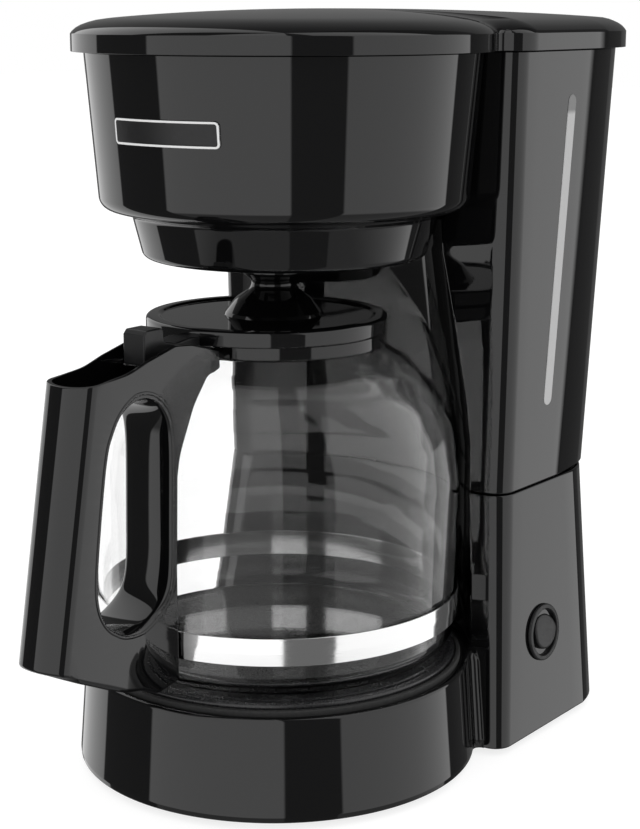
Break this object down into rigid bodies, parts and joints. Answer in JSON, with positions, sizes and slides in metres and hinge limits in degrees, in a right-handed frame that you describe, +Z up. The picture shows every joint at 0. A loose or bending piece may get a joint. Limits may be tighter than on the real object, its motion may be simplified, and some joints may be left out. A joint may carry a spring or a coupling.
{
  "type": "drip coffee maker",
  "caption": "Drip coffee maker with a round brew head, rear water tank behind it, one-piece hinged lid, warming plate and a removable glass carafe.",
  "frame": {"origin": "centre of the footprint's bounding box, on the surface that the feet stand on", "axes": "+Z up, -Y to the front where the carafe handle points, +X to the side with the switch and the level window"},
  "size_m": [0.1688, 0.3002, 0.31],
  "materials": {
    "gloss_black": "polished moulded black",
    "satin_black": "satin moulded black",
    "inner_grey": "plain moulded dark grey",
    "carafe_glass": "clear, fire polished",
    "window_strip": "translucent pale grey",
    "polished_steel": "mirror polished",
    "plain_steel": "zinc plated",
    "aluminium": "as extruded",
    "black_rubber": "matt",
    "silicone": "satin translucent",
    "plate_coating": "non-stick satin black",
    "phenolic": "brown phenolic"
  },
  "bodies": {
    "body": {"brew_head_shell": "gloss_black", "tower_shell": "gloss_black", "lower_housing": "gloss_black", "bottom_cover": "satin_black", "water_tank": "inner_grey", "level_window": "window_strip", "front_badge": "satin_black", "lid_hinge_pin_left": "plain_steel", "lid_hinge_pin_right": "plain_steel", "cord_gland": "satin_black", "warming_plate": "plate_coating", "plate_seal": "black_rubber", "heating_element": "aluminium", "heater_bracket": "plain_steel", "bracket_screw": "plain_steel", "thermostat": "phenolic", "thermal_fuse": "silicone", "check_valve": "satin_black", "riser_grommet": "silicone", "cold_hose": "silicone", "hot_hose": "silicone", "riser_tube": "plain_steel", "switch_bezel": "satin_black", "switch_body": "satin_black", "foot_front_left": "black_rubber", "foot_front_right": "black_rubber", "foot_rear_left": "black_rubber", "foot_rear_right": "black_rubber", "base_screw_front_left": "plain_steel", "base_screw_front_right": "plain_steel", "base_screw_rear_left": "plain_steel", "base_screw_rear_right": "plain_steel"},
    "lid": {"main_lid": "gloss_black", "shower_tray": "satin_black", "tray_screw_front": "plain_steel", "tray_screw_rear": "plain_steel"},
    "basket": {"filter_basket": "satin_black", "drip_stop_cap": "satin_black", "drip_stop_spring": "plain_steel"},
    "drip_stop": {"drip_stop_stem": "satin_black", "drip_stop_seal": "silicone"},
    "rocker": {"switch_rocker": "gloss_black"},
    "carafe": {"carafe_glass": "carafe_glass", "carafe_collar": "satin_black", "carafe_band": "polished_steel", "band_screw": "plain_steel", "carafe_handle": "gloss_black", "carafe_lid_pin": "plain_steel"},
    "carafe_cover": {"carafe_lid": "satin_black"}
  },
  "joints": [
    {"name": "lid_hinge", "type": "hinge", "parent": "body", "child": "lid", "pos_m": [0, 0.1469, 0.297], "axis": [-1, 0, 0], "range_deg": [0, 100]},
    {"name": "basket_lift", "type": "slide", "parent": "body", "child": "basket", "axis": [0, 0, 1], "range_m": [0, 0.009]},
    {"name": "drip_stop_lift", "type": "slide", "parent": "basket", "child": "drip_stop", "axis": [0, 0, 1], "range_m": [0, 0.003], "stiffness_N_per_m": 150, "springref_m": -0.01, "deforming": ["drip_stop_spring"]},
    {"name": "power_rocker", "type": "hinge", "parent": "body", "child": "rocker", "pos_m": [0.07836, 0.0703, 0.04503], "axis": [0, 1, 0], "range_deg": [0, 14]},
    {"name": "carafe_slide", "type": "slide", "parent": "body", "child": "carafe", "axis": [0, -1, 0], "range_m": [0, 0.2]},
    {"name": "carafe_lid_hinge", "type": "hinge", "parent": "carafe", "child": "carafe_cover", "pos_m": [0, -0.0841, 0.183], "axis": [1, 0, 0], "range_deg": [0, 1.2]}
  ]
}
